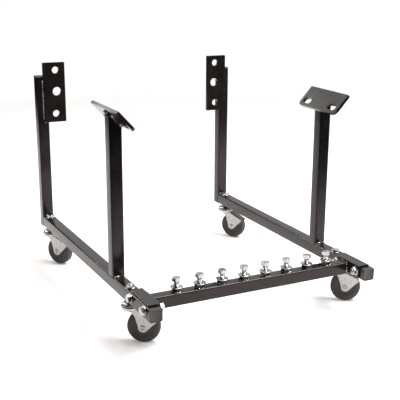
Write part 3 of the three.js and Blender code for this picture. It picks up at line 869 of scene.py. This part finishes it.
def bracket(side, sign):
    """Rolled angle iron, with a fillet inside its corner."""
    node = "bracket_" + side
    lo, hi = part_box(node)
    leg_top, leg_side = (hi.x - lo.x) / MM, (hi.z - lo.z) / MM
    thick = ANGLE_THICKNESS
    outline = [(0, 0), (0, -leg_side), (thick, -leg_side)]
    outline += arc(thick + ANGLE_FILLET, -thick - ANGLE_FILLET, ANGLE_FILLET, 180, 90, 5)
    outline += [(leg_top, -thick), (leg_top, 0)]
    inner = hi.x if sign < 0 else lo.x
    bm = solid([outline], (hi.y - lo.y) / MM)
    bm.transform(Matrix.Diagonal((sign, 1, 1, 1)))
    place = Matrix.Translation((inner, hi.y, hi.z)) @ Matrix.Rotation(math.pi / 2, 4, "X")
    piece(node + "_angle", bm, place, "frame", "black_paint", [node], bevel=0.8, sharp=40)


# ---------------------------------------------------------------- casters
def caster_stem(name, stem):
    """Threaded stem, hex collar, upper ball race and riveted kingpin."""
    node = "caster_stem_" + name
    lo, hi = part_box(node)
    rail_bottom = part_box("rail_left")[0].z
    place = Matrix.Translation((stem.x, stem.y, rail_bottom))
    top = (hi.z - rail_bottom) / MM
    bottom = (lo.z - rail_bottom) / MM
    bm = threaded(STEM_RADIUS, STEM_THREAD_START, top - 0.6, STEM_PITCH)
    tip = [(0, top - STEM_TIP), (STEM_RADIUS - 0.9, top - STEM_TIP), (STEM_RADIUS - 1.6, top), (0, top)]
    add(bm, turned(tip, 32, False))
    add(bm, hexagon(STEM_FLATS, STEM_COLLAR_HEIGHT), Matrix.Translation((0, 0, STEM_COLLAR_BOTTOM)))
    race = [(0, -10), (17.2, -10), (18.1, -9.7), (18.5, -9.0), (18.5, -8.6), (18.2, -7.6), (17.2, -6.2),
            (15.6, -5.0), (13.2, -4.0), (12.0, -3.6), (0, -3.6)]
    add(bm, turned(race, 56, False))
    pin = [(0, bottom), (5.2, bottom), (6.6, bottom + 0.7), (7, bottom + 2.4), (5, bottom + 2.5),
           (5, -9.5), (0, -9.5)]
    add(bm, turned(pin, 32, False))
    piece(node + "_plated", bm, place, "frame", "chrome_hardware", [node], sharp=28)

    node = "stem_nut_" + name
    lo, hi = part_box(node)
    place = Matrix.Translation((stem.x, stem.y, lo.z)) @ Matrix.Rotation(STEM_NUT_TURN, 4, "Z")
    washer = STEM_WASHER_THICKNESS
    bm = hexagon(STEM_FLATS, STEM_NUT_HEIGHT - washer, STEM_RADIUS + 0.25)
    bm.transform(Matrix.Translation((0, 0, washer)))
    add(bm, washer_solid(STEM_WASHER_RADIUS, washer, STEM_RADIUS + 0.4))
    piece(node + "_nut", bm, place, "frame", "chrome_hardware", [node], sharp=24)


def leg_outline(axle_height):
    """Side of a fork leg: x towards the trailing side, y up, as in the CAD node."""
    x, y = CASTER_TRAIL, axle_height
    points = [(-9, LEG_TOP)]
    points += bezier((-9, LEG_TOP), (2, LEG_TOP - 3), (9, LEG_TOP - 9), (11, LEG_TOP - 18), 8)
    points += arc(x, y, LEG_BOSS, 168, 315, 16)
    points += [(x + 27.6, y + 14)]
    points += bezier((x + 27.6, y + 14), (x + 29.2, y + 16), (x + 28.9, y + 17.6), (x + 26.5, y + 19), 5)
    points += [(18, LEG_TOP)]
    return points


def caster_fork(name, stem, axle):
    """Stamped fork: lower race, crown, two legs and the riveted axle."""
    node = "caster_fork_" + name
    rail_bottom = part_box("rail_left")[0].z
    origin = Vector((stem.x, stem.y, rail_bottom))
    trailing = Vector((axle.x - stem.x, axle.y - stem.y, 0)).normalized()
    place = facing(origin, trailing, (0, 0, 1))
    axle_height = (axle.z - rail_bottom) / MM
    race = [(KINGPIN_HOLE, -17.4), (18.2, -17.4), (19.0, -15.6), (19.9, -14.2), (20, -13.4),
            (20, -11.6), (19.8, -10.9), (19.2, -10.4), (KINGPIN_HOLE, -10.4)]
    piece("race_" + name, turned(race, 56), place, "swivel_" + name, "chrome_hardware", sharp=28)

    bm = None
    for hand in (-1, 1):
        leg = solid([leg_outline(axle_height)], LEG_THICKNESS)
        y = hand * (LEG_GAP + LEG_THICKNESS) / 2 + LEG_THICKNESS / 2
        leg.transform(facing((0, y, 0), (1, 0, 0), (0, -1, 0)))
        bm = leg if bm is None else add(bm, leg)
    crown = solid([rounded(CROWN_LENGTH, FORK_WIDTH, [6, 1.2, 1.2, 6], 5),
                   circle(KINGPIN_HOLE, 24, -CROWN_CENTRE, 0)], CROWN_THICKNESS)
    add(bm, crown, Matrix.Translation((CROWN_CENTRE, 0, CROWN_BOTTOM)))
    piece(node + "_stamping", bm, place, "swivel_" + name, "zinc_fork", [node], bevel=0.6, sharp=40)
    caster_axle(name, place, axle_height)


def caster_axle(name, place, axle_height):
    """The fork's axle, with a rolled rivet head on each leg."""
    half = FORK_WIDTH / 2
    rolled = [(0, 0.35), (2.0, 0.25), (2.6, 0.5), (3.2, 1.25), (3.9, 1.4), (4.7, 1.1), (5.5, 0.2),
              (5.5, -0.2), (0, -0.2)]
    for hand, label in ((-1, "inner"), (1, "outer")):
        head = turned(rolled, 32, False)
        head.transform(facing((CASTER_TRAIL, hand * half, axle_height), (1, 0, 0), (0, hand, 0)))
        piece(f"axle_head_{label}_{name}", head, place, "swivel_" + name, "zinc_fork", sharp=28)
    bar = turned([(0, -half), (AXLE_RADIUS, -half), (AXLE_RADIUS, half), (0, half)], 32, False)
    bar.transform(facing((CASTER_TRAIL, 0, axle_height), (1, 0, 0), (0, 1, 0)))
    piece("axle_" + name, bar, place, "swivel_" + name, "zinc_fork", sharp=28)


def caster_wheel(name, axle, direction):
    """Solid wheel: a fine groove round its tread, one in each side, and a raised hub."""
    node = "caster_wheel_" + name
    half = WHEEL_WIDTH / 2
    hub = [(4.4, half + 0.5), (5.2, half + 0.7), (8.2, half + 0.7), (8.8, half + 0.4), (9.6, half - 0.8)]
    disc = [(19.9, half - 1.0), (20.9, half - 0.5), (21.9, half - 0.1), (25.3, half - 0.1),
            (25.9, half - 0.5), (26.5, half - 0.1)]
    shoulder = [(28.9, half - 0.4), (30.9, half - 1.5), (32, half - 3.2), (WHEEL_RADIUS, half - 5.6)]
    tread = [(WHEEL_RADIUS, 0.5), (WHEEL_RADIUS - 0.25, 0)]
    side = hub + disc + shoulder + tread
    profile = [(r, -y) for r, y in side] + [(r, y) for r, y in reversed(side[:-1])]
    bm = turned(profile, 96)
    place = facing(axle, Vector((0, 0, 1)).cross(direction), direction)
    piece(node + "_tyre", bm, place, "wheel_" + name, "black_rubber", [node], sharp=38)


def casters():
    """All four casters, each at its two joints."""
    for end in ("front", "rear"):
        for side in SIDES:
            name = f"{end}_{side}"
            stem, _ = joint("swivel_" + name)
            axle, direction = joint("roll_" + name)
            caster_stem(name, stem)
            caster_fork(name, stem, axle)
            caster_wheel(name, axle, direction)


# ---------------------------------------------------------------- stage
def floor():
    """The plain floor, which is stage and no part of the stand."""
    bm = bmesh.new()
    bmesh.ops.create_grid(bm, x_segments=4, y_segments=4, size=FLOOR_SIZE / 2)
    mesh = bpy.data.meshes.new("floor")
    bm.to_mesh(mesh)
    bm.free()
    mesh.materials.append(studio_floor("studio_floor"))
    made = bpy.data.objects.new("floor", mesh)
    made.location.z = -FLOOR_DROP
    bpy.context.scene.collection.objects.link(made)


def lights():
    """Soft rectangular lights, each aimed at a point, and the surroundings."""
    for name, (position, target, width, height, watts) in LIGHTS.items():
        data = bpy.data.lights.new(name, "AREA")
        data.shape = "RECTANGLE"
        data.size, data.size_y = width, height
        data.energy = watts
        made = bpy.data.objects.new(name, data)
        made.location = position
        aim = Vector(target) - Vector(position)
        made.rotation_euler = aim.to_track_quat("-Z", "Y").to_euler()
        bpy.context.scene.collection.objects.link(made)
    surroundings()


def surroundings():
    """White to the camera; as light, brightest high up at the back and on the right."""
    world = bpy.data.worlds.new("studio")
    world.use_nodes = True
    nodes, links = world.node_tree.nodes, world.node_tree.links
    direction = nodes.new("ShaderNodeSeparateXYZ")
    links.new(nodes.new("ShaderNodeTexCoord").outputs["Generated"], direction.inputs["Vector"])

    def spread(source, low, high, start, stop):
        node = nodes.new("ShaderNodeMapRange")
        node.interpolation_type = "SMOOTHSTEP"
        node.inputs["From Min"].default_value, node.inputs["From Max"].default_value = start, stop
        node.inputs["To Min"].default_value, node.inputs["To Max"].default_value = low, high
        links.new(source, node.inputs["Value"])
        return node.outputs["Result"]

    def multiply(first, second):
        node = nodes.new("ShaderNodeMath")
        node.operation = "MULTIPLY"
        links.new(first, node.inputs[0])
        links.new(second, node.inputs[1])
        return node.outputs["Value"]

    shed = spread(direction.outputs["Y"], *SHED_LIGHT, -1, 1)
    shed = multiply(shed, spread(direction.outputs["X"], SHED_LEFT, 1, -0.25, 0.25))
    shed = multiply(shed, spread(direction.outputs["Z"], SHED_LOW, 1, *DARK_GAP))
    strength = nodes.new("ShaderNodeMapRange")
    strength.inputs["To Max"].default_value = SEEN_WHITE
    links.new(nodes.new("ShaderNodeLightPath").outputs["Is Camera Ray"], strength.inputs["Value"])
    links.new(shed, strength.inputs["To Min"])
    nodes["Background"].inputs["Color"].default_value = (1, 1, 1, 1)
    links.new(strength.outputs["Result"], nodes["Background"].inputs["Strength"])
    bpy.context.scene.world = world
    bpy.context.scene.view_settings.view_transform = "Standard"


def camera():
    """The camera, where the photographer stood."""
    data = bpy.data.cameras.new("camera")
    data.sensor_width = SENSOR_WIDTH
    data.lens = CAMERA_LENS
    data.shift_x, data.shift_y = CAMERA_SHIFT
    made = bpy.data.objects.new("camera", data)
    turn = Matrix.Rotation(CAMERA_YAW, 4, "Z") @ Matrix.Rotation(math.pi / 2 - CAMERA_DOWN, 4, "X")
    made.matrix_world = Matrix.Translation(CAMERA_POSITION) @ turn @ Matrix.Rotation(CAMERA_ROLL, 4, "Z")
    bpy.context.scene.collection.objects.link(made)
    bpy.context.scene.camera = made


# ---------------------------------------------------------------- assembly
for side_name, side_sign in SIDES.items():
    side_frame(side_name, side_sign)
    bracket(side_name, side_sign)
    for clamp_end in ("front", "rear"):
        clamp_fastener(clamp_end, side_name, side_sign)
crossbar()
for bolt_number in BOLT_NUMBERS:
    stored_bolt(bolt_number)
casters()
floor()
lights()
camera()
